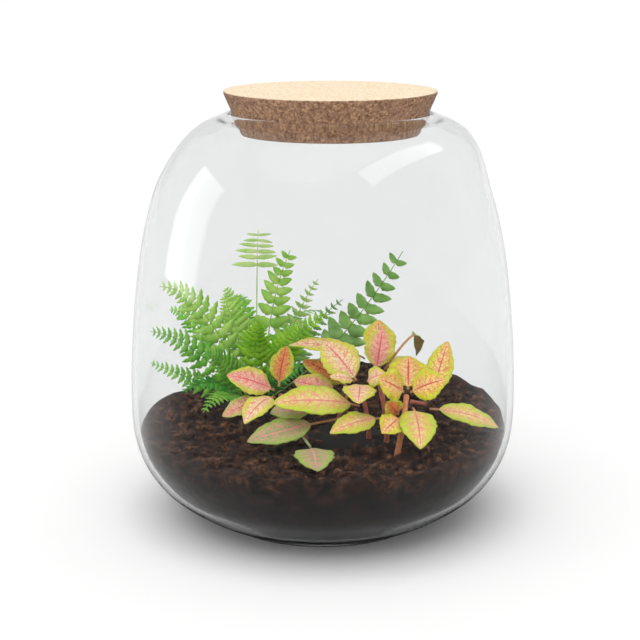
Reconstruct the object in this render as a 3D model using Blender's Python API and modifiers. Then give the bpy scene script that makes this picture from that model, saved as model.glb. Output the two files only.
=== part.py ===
"""Glass plant terrarium: a lidded glass jar with soil, a fern and a pink-veined nerve plant.

Origin at the centre of the jar's foot, +Z up, the planted show side facing -Y. Metres throughout.
"""
import math

import bmesh
import bpy
from mathutils import Vector

MM = 0.001
GAP = 0.3 * MM            # clearance left between neighbouring pieces
SEGMENTS = 40             # sides of every turned piece, so that neighbours' facets line up

# Jar: outside of the glass from the foot to the lip (radius, height in mm)
JAR_OUTSIDE = [(65, 0), (85.5, 11.7), (101.8, 26), (112.2, 46.4), (115, 73.8), (112.3, 125.7),
               (105.2, 174.5), (93.8, 211.3), (80.2, 232.6), (60.6, 243)]
JAR_STEPS_PER_SPAN = 2
JAR_WALL = 3.0            # mm
JAR_FLOOR = 5.0           # mm
LIP_CENTRE = (58.6, 241.3)
LIP_RADIUS = 1.9
LEAN = 4.4                # mm the mouth sits to the right of the foot's centre
LEAN_FROM, LEAN_TO = 195.0, 240.0

# Cork stopper (radius, height in mm)
CORK_TOP = (62.5, 255.7)
CORK_BOTTOM = (52.0, 231.5)
CORK_EDGE = 0.8

# Soil
SOIL_LEVEL = 55.5         # mm at the front glass
SOIL_BANK = 6.0           # mm the soil is banked up at the back
SOIL_BANK_RIGHT = 5.0     # mm more on the right of the bank
SOIL_RINGS = [14, 28, 42, 56, 70, 84, 98]
SOIL_SIDE_TOP = 47.0      # mm, below the lowest point of the soil's edge

# Root balls (centre x, y) and profile (radius, height)
NERVE_PLUG_AT = (15, -38)
NERVE_PLUG = [(0, 58.6), (20, 58.4), (28.5, 57.4), (30, 55.5), (22, 24), (0, 24)]
FERN_BALL_AT = (-40, 25)
FERN_BALL = [(0, 68.5), (4, 67.8), (7.5, 65), (9, 60.5), (23, 58.6), (24, 56.5), (18, 26), (0, 26)]
PLUG_SEGMENTS = 24

# Nerve plant stems: path points (x, y, z) in mm and radius in mm
STEMS = {
    "nerve_stem_right": ([(41, -67, 51), (43, -64, 61), (46, -57, 74), (48, -47, 86)], 1.7),
    "nerve_stem_centre": ([(27, -42, 51), (26, -42, 70), (22, -40, 89)], 1.4),
    "nerve_stem_back": ([(36, -46, 51), (37, -48, 66), (35, -43, 80), (32, -28, 94)], 1.5),
    "nerve_stem_low": ([(6, -38, 51), (9, -35, 68), (15, -30, 82)], 1.2),
    "nerve_stem_left": ([(-8, -40, 51), (-13, -40, 66), (-25, -38, 84)], 1.2),
}
SIDE_STALKS = {
    "nerve_side_stalk_right": ([(50.4, -46, 82), (55, -44, 80.5), (60, -43, 79.5)], 1.1),
    "nerve_side_stalk_front": ([(-19, -41.5, 72.5), (-13, -56, 66.5), (-7, -77, 65)], 0.8),
}
STEM_CUT_HEIGHT = 9.0     # mm of each stem's foot that gets a hole in soil or root ball

# Nerve plant leaves: base, tip (mm), arch of the midrib (mm), width (mm),
# direction the upper face looks, share of the length that is stalk
LEAVES = {
    "nerve_leaf_01": ((-28, -39, 86.5), (-55, -44, 97), 3, 17, (0.1, -0.75, 0.65), 0.10),
    "nerve_leaf_02": ((-25.5, -35, 87.5), (-21, -24, 109), 2, 15, (-0.3, -0.9, 0.3), 0.12),
    "nerve_leaf_03": ((-28, -41.5, 83.5), (-44, -66, 75), 4, 16, (-0.2, -0.6, 0.75), 0.15),
    "nerve_leaf_04": ((-28, -36, 81.5), (-57, -56, 76), 3, 13, (0, -0.6, 0.8), 0.30),
    "nerve_leaf_05": ((8, -42, 77.5), (-30, -60, 79), 2, 14, (0, -0.6, 0.8), 0.40),
    "nerve_leaf_06": ((11, -47, 72), (-42, -77, 68), 2, 17, (0.2, -0.55, 0.8), 0.35),
    "nerve_leaf_07": ((21, -45, 79), (-28, -68, 87.5), 4, 21, (0.1, -0.6, 0.8), 0.12),
    "nerve_leaf_08": ((10, -33, 81), (-17, -32, 90), 3, 16, (0, -0.7, 0.7), 0.15),
    "nerve_leaf_09": ((25, -15, 99), (-20, -14, 107), 5, 12, (0, -0.45, 0.9), 0.15),
    "nerve_leaf_10": ((15, -26, 84.5), (-12, -13, 97), 3, 15, (0, -0.55, 0.8), 0.12),
    "nerve_leaf_11": ((19.5, -38, 92), (0, -25, 112), 3, 23, (0.3, -0.85, 0.45), 0.08),
    "nerve_leaf_12": ((21.5, -43, 91), (20, -63, 86), 2, 19, (0, -0.65, 0.75), 0.08),
    "nerve_leaf_13": ((18, -40.5, 92.5), (4, -47, 97), 1.5, 9, (0, -0.6, 0.8), 0.10),
    "nerve_leaf_14": ((25.5, -39.5, 92), (36, -44, 98), 1.5, 13, (0, -0.7, 0.7), 0.10),
    "nerve_leaf_15": ((31, -28.5, 96), (35, -20, 119), 2, 18, (0.1, -0.95, 0.3), 0.08),
    "nerve_leaf_16": ((33.5, -25, 96), (33, -5, 120), 2, 20, (0.2, -0.9, 0.4), 0.22),
    "nerve_leaf_17": ((36.2, -24.5, 94.5), (57, 10, 94), 20, 8, (0.3, -0.3, 0.9), 0.50),
    "nerve_leaf_18": ((37, -33, 91), (57, -17, 98), 2, 17, (0, -0.8, 0.6), 0.10),
    "nerve_leaf_19": ((49, -44, 88.5), (50, -26, 103), 2, 24, (0, -0.75, 0.65), 0.08),
    "nerve_leaf_20": ((46.5, -48, 88), (31, -58, 99), 2, 19, (0.3, -0.8, 0.5), 0.10),
    "nerve_leaf_21": ((50, -48, 88), (70, -52, 97), 2, 19, (-0.1, -0.8, 0.6), 0.10),
    "nerve_leaf_22": ((62, -40, 82), (74, -13, 109), 1, 16, (0.1, -0.9, 0.4), 0.10),
    "nerve_leaf_23": ((51.5, -52, 80), (54, -84, 66), 4, 21, (0.1, -0.7, 0.7), 0.15),
    "nerve_leaf_24": ((61.5, -44.5, 77), (102, -35, 63), 4, 14, (0, -0.6, 0.8), 0.12),
    "nerve_leaf_25": ((43, -58.5, 78), (36, -66, 88), 1, 12, (0, -1, 0.3), 0.10),
    "nerve_leaf_26": ((44, -61.5, 77), (33, -78, 73), 2, 15, (0, -0.7, 0.6), 0.15),
    "nerve_leaf_27": ((33.5, -50, 73), (4, -71, 71), 3, 15, (0, -0.6, 0.8), 0.15),
    "nerve_leaf_28": ((-6.5, -78.5, 64.5), (-3, -103, 59.5), 2, 22, (0.1, -0.6, 0.8), 0.05),
}
LEAF_THICKNESS = 0.4      # mm
LEAF_ALONG, LEAF_ACROSS = 6, 4
LEAF_FOLD = 0.18          # rise of the blade's edge over its half width
STALK_WIDTH = 1.4         # mm

# Fern fronds: middle point, tip (mm), width of the blade (mm), direction the upper face looks,
# share of the length that is bare stalk, pairs of leaflets
FRONDS = {
    "fern_frond_01": ((-72, 18, 118), (-99, 11, 137), 24, (0, -0.8, 0.6), 0.30, 8),
    "fern_frond_02": ((-77, 42, 103), (-97, 46, 114), 18, (0, -0.8, 0.6), 0.35, 7),
    "fern_frond_03": ((-79, 8, 99), (-103, -5, 113), 20, (0, -0.8, 0.6), 0.35, 7),
    "fern_frond_04": ((-82, 10, 80), (-105, 5, 91), 16, (0, -0.7, 0.7), 0.35, 7),
    "fern_frond_05": ((-52, 42, 108), (-62, 51, 127), 18, (0, -0.9, 0.4), 0.40, 7),
    "fern_frond_06": ((-41, 36, 122), (-40, 46, 165), 30, (0, -0.9, 0.4), 0.60, 6),
    "fern_frond_07": ((-32, 38, 113), (-20, 43, 153), 22, (0, -0.95, 0.3), 0.45, 8),
    "fern_frond_08": ((-18, 50, 105), (-3, 59, 131), 16, (0, -0.9, 0.4), 0.50, 6),
    "fern_frond_09": ((10, 31, 99), (50, 40, 153), 28, (-0.2, -0.9, 0.4), 0.45, 9),
    "fern_frond_10": ((-12, 46, 96), (13, 58, 118), 18, (0, -0.8, 0.6), 0.40, 7),
    "fern_frond_11": ((-18, 20, 101), (5, 19, 118), 18, (0, -0.8, 0.6), 0.40, 7),
    "fern_frond_12": ((-59, -10, 75), (-70, -33, 71), 16, (0, -0.5, 0.85), 0.35, 6),
    "fern_frond_13": ((-65, 0, 80), (-84, -15, 78), 16, (0, -0.5, 0.85), 0.35, 7),
    "fern_frond_14": ((-41, 8, 101), (-37, -4, 119), 20, (0, -0.9, 0.5), 0.40, 7),
    "fern_frond_15": ((-27, 14, 98), (-12, 8, 114), 18, (0, -0.8, 0.6), 0.40, 7),
    "fern_frond_16": ((-54, 35, 103), (-63, 41, 124), 20, (0, -0.8, 0.6), 0.40, 7),
    "fern_frond_17": ((-58, 0, 90), (-69, -14, 103), 18, (0, -0.8, 0.6), 0.40, 7),
    "fern_frond_18": ((-50, 64, 106), (-58, 88, 113), 20, (0, -0.2, 1), 0.35, 7),
    "fern_frond_19": ((-24, 68, 98), (0, 92, 102), 18, (0, -0.2, 1), 0.35, 7),
    "fern_frond_20": ((-24, 8, 84), (-2, 0, 88), 16, (0, -0.7, 0.7), 0.40, 6),
}
CROWN_LOW = (9.9, 61.5)    # mm, where the lowest fronds leave the crown (radius, height)
CROWN_HIGH = (8.3, 65.5)   # and the highest ones
CROWN_TIERS = (75, 120)    # heights of a frond's middle that belong to those two
FROND_THICKNESS = 0.5     # mm
RACHIS_WIDTH = 1.0        # mm
LEAFLET_LEAN = 0.55       # forward sweep of a leaflet over its length
STALK_STEPS = 3

# Materials: name, colour (linear), roughness, metallic, transmission
MATERIALS = {
    "glass": ((0.90, 0.93, 0.92), 0.03, 1.0),
    "cork": ((0.47, 0.29, 0.17), 0.9, 0.0),
    "soil": ((0.030, 0.017, 0.012), 1.0, 0.0),
    "root_plug": ((0.010, 0.008, 0.007), 1.0, 0.0),
    "nerve_leaf": ((0.75, 0.42, 0.16), 0.5, 0.0),
    "nerve_stem": ((0.45, 0.11, 0.06), 0.5, 0.0),
    "fern_green": ((0.14, 0.38, 0.04), 0.5, 0.0),
}


# ---------------------------------------------------------------- helpers
def clear_scene():
    for obj in list(bpy.data.objects):
        bpy.data.objects.remove(obj)


def new_collection(name):
    collection = bpy.data.collections.new(name)
    bpy.context.scene.collection.children.link(collection)
    return collection


def material(name):
    colour, roughness, transmission = MATERIALS[name]
    mat = bpy.data.materials.get(name) or bpy.data.materials.new(name)
    mat.use_nodes = True
    shader = mat.node_tree.nodes["Principled BSDF"]
    shader.inputs["Base Color"].default_value = (*colour, 1.0)
    shader.inputs["Roughness"].default_value = roughness
    shader.inputs["Transmission Weight"].default_value = transmission
    return mat


def add_object(name, data, mat_name, collection):
    obj = bpy.data.objects.new(name, data)
    data.materials.clear()
    data.materials.append(material(mat_name))
    collection.objects.link(obj)
    return obj


def applied(obj):
    """Turn an object's curve or modifiers into a plain mesh."""
    bpy.context.view_layer.update()
    graph = bpy.context.evaluated_depsgraph_get()
    mesh = bpy.data.meshes.new_from_object(obj.evaluated_get(graph))
    name = obj.name
    collection = obj.users_collection[0]
    mat_name = obj.data.materials[0].name
    bpy.data.objects.remove(obj)
    return add_object(name, mesh, mat_name, collection)


def smooth_curve(knots, steps):
    """Catmull-Rom curve through hand-set knots."""
    pts = [Vector(k) for k in knots]
    out = []
    for i in range(len(pts) - 1):
        a, b = pts[i], pts[i + 1]
        before = pts[i - 1] if i else a * 2 - b
        after = pts[i + 2] if i + 2 < len(pts) else b * 2 - a
        for k in range(steps):
            t = k / steps
            out.append(0.5 * ((2 * a) + (b - before) * t + (2 * before - 5 * a + 4 * b - after) * t * t
                              + (3 * a - before - 3 * b + after) * t ** 3))
    out.append(pts[-1])
    return out


def inset(points, distance):
    """Move a bottom-to-top outline towards the axis by a wall thickness."""
    out = []
    for i, p in enumerate(points):
        ahead = points[min(i + 1, len(points) - 1)]
        behind = points[max(i - 1, 0)]
        along = (ahead - behind).normalized()
        out.append(p + Vector((-along.y, along.x)) * distance)
    return out


def turned(name, profile, mat_name, collection, centre=(0, 0), segments=SEGMENTS):
    """Solid of revolution from (radius, height) points in mm, top to bottom down the outside."""
    mesh = bpy.data.meshes.new(name)
    bm = bmesh.new()
    verts = [bm.verts.new((r * MM, 0, z * MM)) for r, z in profile]
    for a, b in zip(verts, verts[1:]):
        bm.edges.new((a, b))
    bm.to_mesh(mesh)
    bm.free()
    obj = add_object(name, mesh, mat_name, collection)
    screw = obj.modifiers.new("turn", "SCREW")
    screw.steps = segments
    screw.render_steps = segments
    screw.use_merge_vertices = True
    screw.merge_threshold = 1e-5
    obj = applied(obj)
    for v in obj.data.vertices:
        v.co.x += centre[0] * MM
        v.co.y += centre[1] * MM
    return obj


def lean(z):
    t = min(max((z - LEAN_FROM) / (LEAN_TO - LEAN_FROM), 0), 1)
    return LEAN * t * t * (3 - 2 * t)


def cut(target, cutter):
    mod = target.modifiers.new("cut_" + cutter.name, "BOOLEAN")
    mod.operation = "DIFFERENCE"
    mod.solver = "EXACT"
    mod.object = cutter


def tube(name, path, radius, mat_name, collection):
    curve = bpy.data.curves.new(name, "CURVE")
    curve.dimensions = "3D"
    curve.bevel_depth = radius * MM
    curve.bevel_resolution = 1
    curve.use_fill_caps = True
    spline = curve.splines.new("POLY")
    spline.points.add(len(path) - 1)
    for point, co in zip(spline.points, path):
        point.co = (co[0] * MM, co[1] * MM, co[2] * MM, 1)
    return add_object(name, curve, mat_name, collection)


# ---------------------------------------------------------------- jar and stopper
def jar_outline():
    return smooth_curve(JAR_OUTSIDE, JAR_STEPS_PER_SPAN)


def build_jar(collection):
    outside = jar_outline()
    inside = [p for p in inset(outside, JAR_WALL) if p.y > JAR_FLOOR + 1]
    lip = []
    for k in range(1, 6):
        angle = math.radians(-90 - 45 * k + 30)
        lip.append((LIP_CENTRE[0] + LIP_RADIUS * math.cos(angle), LIP_CENTRE[1] + LIP_RADIUS * math.sin(angle)))
    profile = [(0, JAR_FLOOR), (60, JAR_FLOOR)]
    profile += [tuple(p) for p in inside[:-1]]
    profile += lip
    profile += [tuple(p) for p in reversed(outside[:-1])]
    profile.append((0, 0))
    jar = turned("glass_jar", profile, "glass", collection)
    for v in jar.data.vertices:
        v.co.x += lean(v.co.z / MM) * MM
    return jar


def build_stopper(collection):
    (top_r, top_z), (low_r, low_z) = CORK_TOP, CORK_BOTTOM
    slope = (top_r - low_r) / (top_z - low_z)
    profile = [(0, top_z), (top_r - CORK_EDGE, top_z), (top_r, top_z - CORK_EDGE)]
    profile += [(low_r + slope * CORK_EDGE, low_z + CORK_EDGE), (low_r - CORK_EDGE, low_z), (0, low_z)]
    return turned("cork_stopper", profile, "cork", collection, (LEAN, 0))


# ---------------------------------------------------------------- soil and root balls
def soil_height(x, y):
    """Height of the soil in mm: banked up at the back, more so on the right, gently lumpy."""
    t = min(max((y + 60) / 170, 0), 1)
    bank = (SOIL_BANK + SOIL_BANK_RIGHT * x / 110) * t * t * (3 - 2 * t)
    lumps = 1.1 * math.sin(0.09 * x + 0.6) * math.cos(0.08 * y) + 0.7 * math.sin(0.19 * x - 0.15 * y + 1)
    return SOIL_LEVEL + bank + lumps


def side_radius(side, z):
    for low, high in zip(side, side[1:]):
        if low.y <= z <= high.y:
            return low.x + (high.x - low.x) * (z - low.y) / (high.y - low.y)
    return side[-1].x


def build_soil(collection):
    clearance = GAP / MM
    side = [p for p in inset(jar_outline(), JAR_WALL + clearance) if p.y > JAR_FLOOR + 1]
    below = [tuple(p) for p in side if p.y < SOIL_SIDE_TOP]
    rim = (side_radius(side, SOIL_LEVEL), SOIL_LEVEL)
    floor = JAR_FLOOR + clearance
    profile = [(0, SOIL_LEVEL)] + [(r, SOIL_LEVEL) for r in SOIL_RINGS] + [rim]
    profile += list(reversed(below)) + [(60, floor), (0, floor)]
    soil = turned("potting_soil", profile, "soil", collection)
    for v in soil.data.vertices:
        if abs(v.co.z / MM - SOIL_LEVEL) > 0.01:
            continue
        x, y = v.co.x / MM, v.co.y / MM
        z = soil_height(x, y)
        radius = math.hypot(x, y)
        if radius > SOIL_RINGS[-1] + 1:
            scale = side_radius(side, z) / radius
            x, y = x * scale, y * scale
        v.co = (x * MM, y * MM, z * MM)
    return soil


def grown(profile, extra):
    """The same turned outline made bigger all round, open upwards, for cutting a pocket."""
    top, low = profile[0][1] + 20, profile[-1][1] - extra
    widest = max(r for r, z in profile)
    shoulder = min(z for r, z in profile if r > widest - 1.6)
    out = [(0, top), (widest + extra * 1.5, top), (widest + extra * 1.5, shoulder)]
    return out + [(profile[-2][0] + extra * 1.5, low), (0, low)]


# ---------------------------------------------------------------- plants
def bezier(a, b, c, t):
    return a * (1 - t) ** 2 + b * (2 * t * (1 - t)) + c * t * t


def across(tangent, face):
    """Unit direction across a blade whose upper side looks towards face."""
    return tangent.cross(Vector(face)).normalized()


def solid_sheet(obj, thickness):
    mod = obj.modifiers.new("thickness", "SOLIDIFY")
    mod.thickness = thickness * MM
    mod.offset = 0
    return obj


def leaf_half_width(t, width, stalk):
    """Half width of an oval leaf with a pointed tip on a narrow stalk."""
    if t < stalk:
        return STALK_WIDTH / 2
    s = (t - stalk) / (1 - stalk)
    oval = math.sin(math.pi * s ** 0.85) ** 0.75 if 0 < s < 1 else 0
    return max(width / 2 * oval, STALK_WIDTH / 2 if s < 0.5 else 0.3)


def build_leaf(name, spec, collection):
    base, tip, arch, width, face, stalk = spec
    base, tip = Vector(base), Vector(tip)
    side0 = across((tip - base).normalized(), face)
    up = side0.cross(tip - base).normalized()
    control = (base + tip) / 2 + up * (2 * arch)
    mesh = bpy.data.meshes.new(name)
    bm = bmesh.new()
    bmesh.ops.create_grid(bm, x_segments=LEAF_ALONG, y_segments=LEAF_ACROSS, size=1)
    for v in bm.verts:
        t, s = (v.co.x + 1) / 2, v.co.y
        centre = bezier(base, control, tip, t)
        ahead = bezier(base, control, tip, min(t + 0.01, 1)) - bezier(base, control, tip, max(t - 0.01, 0))
        side = across(ahead.normalized(), up)
        normal = side.cross(ahead).normalized()
        half = leaf_half_width(t, width, stalk)
        v.co = (centre + side * (s * half) + normal * (abs(s) * half * LEAF_FOLD)) * MM
    bm.to_mesh(mesh)
    bm.free()
    return solid_sheet(add_object(name, mesh, "nerve_leaf", collection), LEAF_THICKNESS)


def frond_shape(t):
    """Share of the full width at t along the blade: widest near its foot, tapering to the tip."""
    return min(0.55 + 2.2 * t, 1.0) * (1 - 0.86 * max(t - 0.15, 0) / 0.85)


def build_frond(name, spec, collection):
    middle, tip, width, face, stalk, pairs = spec
    middle, tip = Vector(middle), Vector(tip)
    outward = Vector((middle.x - FERN_BALL_AT[0], middle.y - FERN_BALL_AT[1], 0)).normalized()
    tier = min(max((middle.z - CROWN_TIERS[0]) / (CROWN_TIERS[1] - CROWN_TIERS[0]), 0), 1)
    radius, height = (low + (high - low) * tier for low, high in zip(CROWN_LOW, CROWN_HIGH))
    base = Vector((*FERN_BALL_AT, height)) + outward * radius
    control = middle * 2 - (base + tip) / 2
    stations = [stalk * k / STALK_STEPS for k in range(STALK_STEPS)]
    for k in range(pairs):
        start = stalk + (1 - stalk) * k / pairs
        stations += [start, start + 0.6 * (1 - stalk) / pairs]
    stations.append(1.0)
    mesh = bpy.data.meshes.new(name)
    bm = bmesh.new()
    bmesh.ops.create_grid(bm, x_segments=len(stations) - 1, y_segments=1, size=1)
    columns = {}
    for v in bm.verts:
        index = round((v.co.x + 1) / 2 * (len(stations) - 1))
        columns.setdefault(index, {})[1 if v.co.y > 0 else -1] = v
    frames = []
    for index, t in enumerate(stations):
        centre = bezier(base, control, tip, t)
        ahead = bezier(base, control, tip, min(t + 0.01, 1)) - bezier(base, control, tip, max(t - 0.01, 0))
        ahead.normalize()
        side = across(ahead, face)
        frames.append((centre, ahead, side))
        for sign, v in columns[index].items():
            v.co = (centre + side * (sign * RACHIS_WIDTH / 2)) * MM
    for k in range(pairs):
        index = STALK_STEPS + 2 * k
        reach = width / 2 * frond_shape(k / pairs)
        centre = (frames[index][0] + frames[index + 1][0]) / 2
        ahead, side = frames[index][1], frames[index][2]
        base_width = (frames[index + 1][0] - frames[index][0]).length
        for sign in (-1, 1):
            edge = bm.edges.get((columns[index][sign], columns[index + 1][sign]))
            for share, swell in ((0.55, 1.0), (1.0, 0.3)):
                grown_edge = bmesh.ops.extrude_edge_only(bm, edges=[edge])["geom"]
                new_verts = [g for g in grown_edge if isinstance(g, bmesh.types.BMVert)]
                new_verts.sort(key=lambda v: (v.co - base * MM).dot(ahead))
                out = centre + side * (sign * reach * share) + ahead * (reach * share * LEAFLET_LEAN)
                for v, step in zip(new_verts, (-0.5, 0.5)):
                    v.co = (out + ahead * (step * base_width * swell)) * MM
                edge = [g for g in grown_edge if isinstance(g, bmesh.types.BMEdge)][0]
    bm.to_mesh(mesh)
    bm.free()
    return solid_sheet(add_object(name, mesh, "fern_green", collection), FROND_THICKNESS)


# ---------------------------------------------------------------- assembly
def build():
    clear_scene()
    part = new_collection("glass_plant_terrarium")
    cutters = new_collection("cutters")
    build_jar(part)
    build_stopper(part)
    soil = build_soil(part)
    plug = turned("nerve_plant_root_plug", NERVE_PLUG, "root_plug", part, NERVE_PLUG_AT, PLUG_SEGMENTS)
    turned("fern_rootstock", FERN_BALL, "root_plug", part, FERN_BALL_AT, PLUG_SEGMENTS)
    clearance = GAP / MM
    for name, profile, at in (("plug_pocket", NERVE_PLUG, NERVE_PLUG_AT), ("fern_pocket", FERN_BALL, FERN_BALL_AT)):
        cut(soil, turned(name, grown(profile, clearance), "soil", cutters, at, PLUG_SEGMENTS))
    for name, (path, radius) in STEMS.items():
        tube(name, path, radius, "nerve_stem", part)
        foot, toward = Vector(path[0]), Vector(path[1]) - Vector(path[0])
        toward.normalize()
        hole = [foot - toward * clearance, foot + toward * STEM_CUT_HEIGHT]
        cutter = applied(tube(name + "_hole", hole, radius + 1.2 * clearance, "soil", cutters))
        cut(soil if name == "nerve_stem_right" else plug, cutter)
    for name, (path, radius) in SIDE_STALKS.items():
        tube(name, path, radius, "nerve_stem", part)
    for name, spec in LEAVES.items():
        build_leaf(name, spec, part)
    for name, spec in FRONDS.items():
        build_frond(name, spec, part)
    for obj in cutters.objects:
        obj.hide_render = True
        obj.display_type = "WIRE"


build()
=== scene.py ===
import math
import random

import bmesh
import bpy
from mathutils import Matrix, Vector, noise


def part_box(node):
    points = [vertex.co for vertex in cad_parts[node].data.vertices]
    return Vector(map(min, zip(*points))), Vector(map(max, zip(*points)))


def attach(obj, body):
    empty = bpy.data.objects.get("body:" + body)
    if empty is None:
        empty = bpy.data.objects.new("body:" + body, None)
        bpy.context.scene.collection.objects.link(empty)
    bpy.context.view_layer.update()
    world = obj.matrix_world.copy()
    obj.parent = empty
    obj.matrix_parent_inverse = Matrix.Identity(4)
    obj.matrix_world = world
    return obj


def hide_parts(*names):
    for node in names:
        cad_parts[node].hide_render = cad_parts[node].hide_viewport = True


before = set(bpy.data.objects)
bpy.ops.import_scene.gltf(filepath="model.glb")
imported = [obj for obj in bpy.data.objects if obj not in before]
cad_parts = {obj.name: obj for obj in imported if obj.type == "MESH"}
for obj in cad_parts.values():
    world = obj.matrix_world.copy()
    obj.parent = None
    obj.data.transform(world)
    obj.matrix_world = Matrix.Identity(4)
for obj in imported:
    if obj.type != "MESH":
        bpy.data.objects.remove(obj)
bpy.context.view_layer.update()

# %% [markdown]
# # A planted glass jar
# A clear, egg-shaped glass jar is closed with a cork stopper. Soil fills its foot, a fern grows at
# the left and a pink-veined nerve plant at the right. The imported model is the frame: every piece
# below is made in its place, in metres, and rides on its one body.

MM = 0.001

# %% [markdown]
# ## Small tools
# Colours are written as they look on a screen (sRGB hex) and one function turns them into the linear
# light values that shaders use. One more function adds a shader node with its settings and links.


# %% Colour and node helpers
def linear(hex_code):
    channels = [int(hex_code[i:i + 2], 16) / 255 for i in (0, 2, 4)]
    light = [c / 12.92 if c <= 0.04045 else ((c + 0.055) / 1.055) ** 2.4 for c in channels]
    return (*light, 1.0)


def add_node(tree, kind, links=None, **settings):
    """Add a node, set its properties, and link or fill the inputs named in links."""
    made = tree.nodes.new(kind)
    for key, value in settings.items():
        setattr(made, key, value)
    for key, value in (links or {}).items():
        socket = made.inputs[key]
        if isinstance(value, bpy.types.NodeSocket):
            tree.links.new(value, socket)
        else:
            socket.default_value = value
    return made


def new_material(name, **values):
    """A Principled material with its constant values on the shader's own sockets."""
    mat = bpy.data.materials.new(name)
    mat.use_nodes = True
    shader = mat.node_tree.nodes["Principled BSDF"]
    for key, value in values.items():
        shader.inputs[key.replace("_", " ")].default_value = value
    return mat, mat.node_tree, shader


def blend_colours(tree, factor, first, second):
    """The first colour where factor is 0 and the second where it is 1."""
    mix = add_node(tree, "ShaderNodeMix", {0: factor, 6: first, 7: second}, data_type="RGBA")
    return mix.outputs[2]


def ramp(tree, factor, stops):
    """A colour ramp from (position, colour) stops."""
    made = add_node(tree, "ShaderNodeValToRGB", {0: factor})
    elements = made.color_ramp.elements
    while len(elements) < len(stops):
        elements.new(0.5)
    for element, (position, colour) in zip(elements, stops):
        element.position = position
        element.color = colour
    return made.outputs[0]


def maths(tree, operation, a, b=0.0, clamp=False):
    made = add_node(tree, "ShaderNodeMath", {0: a, 1: b}, operation=operation, use_clamp=clamp)
    return made.outputs[0]


# %% Placing a finished piece
def place(obj, mat, nodes=()):
    """Give a piece its material, tie it to the frame and hide the nodes that it stands for."""
    obj.data.materials.clear()
    obj.data.materials.append(mat)
    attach(obj, "root")
    if nodes:
        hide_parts(*nodes)
    return obj


def link(name, data):
    obj = bpy.data.objects.new(name, data)
    bpy.context.scene.collection.objects.link(obj)
    return obj


def box_difference(obj, node):
    """Largest difference in mm between a piece's box and its node's box."""
    bpy.context.view_layer.update()
    corners = [obj.matrix_world @ Vector(c) for c in obj.bound_box]
    low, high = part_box(node)
    return max(max(abs(min(c[i] for c in corners) - low[i]), abs(max(c[i] for c in corners) - high[i]))
               for i in range(3)) / MM


# %% [markdown]
# ## Camera
# The jar is seen from a little above, with a long lens from about 0.9 m away, so that its sides
# stay nearly upright and the soil shows as a shallow ellipse.

# %% Camera
CAMERA_AT = (-0.0016, -0.8949, 0.3393)
CAMERA_DIP = 13.84        # degrees below the horizon
LENS = 86.5               # mm
camera_data = bpy.data.cameras.new("camera")
camera_data.lens = LENS
camera_data.sensor_width = 36
camera_data.clip_start = 0.01
camera = link("camera", camera_data)
camera.location = CAMERA_AT
camera.rotation_euler = (math.radians(90 - CAMERA_DIP), 0, 0)
bpy.context.scene.camera = camera
print("camera", CAMERA_DIP, "degrees down, lens", LENS, "mm")

# %% [markdown]
# ## Studio
# Clear glass is drawn by what it mirrors and bends. A white room gives the pale inside of the jar,
# and two soft boxes give the bright swaths on its shoulders. A large pale floor carries the soft
# shadow. One plain white world would be simpler, but then the glass would mirror white all over and
# veil the soil, so mirrored rays see a room that is dark in front and pale behind and above. The
# light levels were set by trial.

# %% World
scene = bpy.context.scene
scene.view_settings.view_transform = "Standard"
world = bpy.data.worlds.new("white_room")
scene.world = world
world.use_nodes = True
room = world.node_tree
room.nodes["Background"].inputs["Color"].default_value = (1, 1, 1, 1)
mirrored = add_node(room, "ShaderNodeLightPath").outputs["Is Glossy Ray"]
ROOM_LIGHT = 0.56
DARK_END, PALE_END = 0.02, 0.85    # what the glass mirrors: a dark room in front, a white cove behind
direction = add_node(room, "ShaderNodeTexCoord").outputs["Generated"]
towards = add_node(room, "ShaderNodeSeparateXYZ", {0: direction})
cove = maths(room, "ADD", maths(room, "MULTIPLY", towards.outputs[1], 2.5), 0.35, clamp=True)
ceiling = maths(room, "MULTIPLY", maths(room, "SUBTRACT", towards.outputs[2], 0.55), 4.0, clamp=True)
above_floor = maths(room, "ADD", maths(room, "MULTIPLY", towards.outputs[2], 6.0), 2.6, clamp=True)
pale = maths(room, "MULTIPLY", maths(room, "MAXIMUM", cove, ceiling), above_floor)
seen_in_glass = maths(room, "ADD", DARK_END, maths(room, "MULTIPLY", pale, PALE_END - DARK_END))
change = maths(room, "MULTIPLY", mirrored, maths(room, "SUBTRACT", seen_in_glass, ROOM_LIGHT))
room.links.new(maths(room, "ADD", ROOM_LIGHT, change), room.nodes["Background"].inputs["Strength"])
print("world light", ROOM_LIGHT, "and mirrored room from", DARK_END, "to", PALE_END)

# %% Floor
FLOOR_RADIUS = 14         # metres: wide enough to fill the front view up to its top edge
floor_mesh = bpy.data.meshes.new("floor")
bm = bmesh.new()
bmesh.ops.create_circle(bm, cap_ends=True, segments=96, radius=FLOOR_RADIUS)
bm.to_mesh(floor_mesh)
bm.free()
floor = link("floor", floor_mesh)
floor.location.z = -0.0002
paper, tree, shader = new_material("matt_white_paper", Roughness=0.9)
grain = add_node(tree, "ShaderNodeTexNoise", {"Scale": 400.0})
paper_white = blend_colours(tree, grain.outputs[0], linear("F6F6F6"), linear("F8F8F8"))
tree.links.new(paper_white, shader.inputs["Base Color"])
floor.data.materials.append(paper)
floor.visible_glossy = False
print("floor", FLOOR_RADIUS * 2, "m across")


# %% Lights
def soft_box(name, place_at, look_at, width, height, watts):
    """A rectangular lamp that the glass mirrors and that throws no light on matte things."""
    data = bpy.data.lights.new(name, "AREA")
    data.shape = "RECTANGLE"
    data.size, data.size_y = width, height
    data.energy = watts
    lamp = link(name, data)
    lamp.location = place_at
    lamp.rotation_euler = (Vector(look_at) - Vector(place_at)).to_track_quat("-Z", "Y").to_euler()
    lamp.visible_diffuse = False


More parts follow.
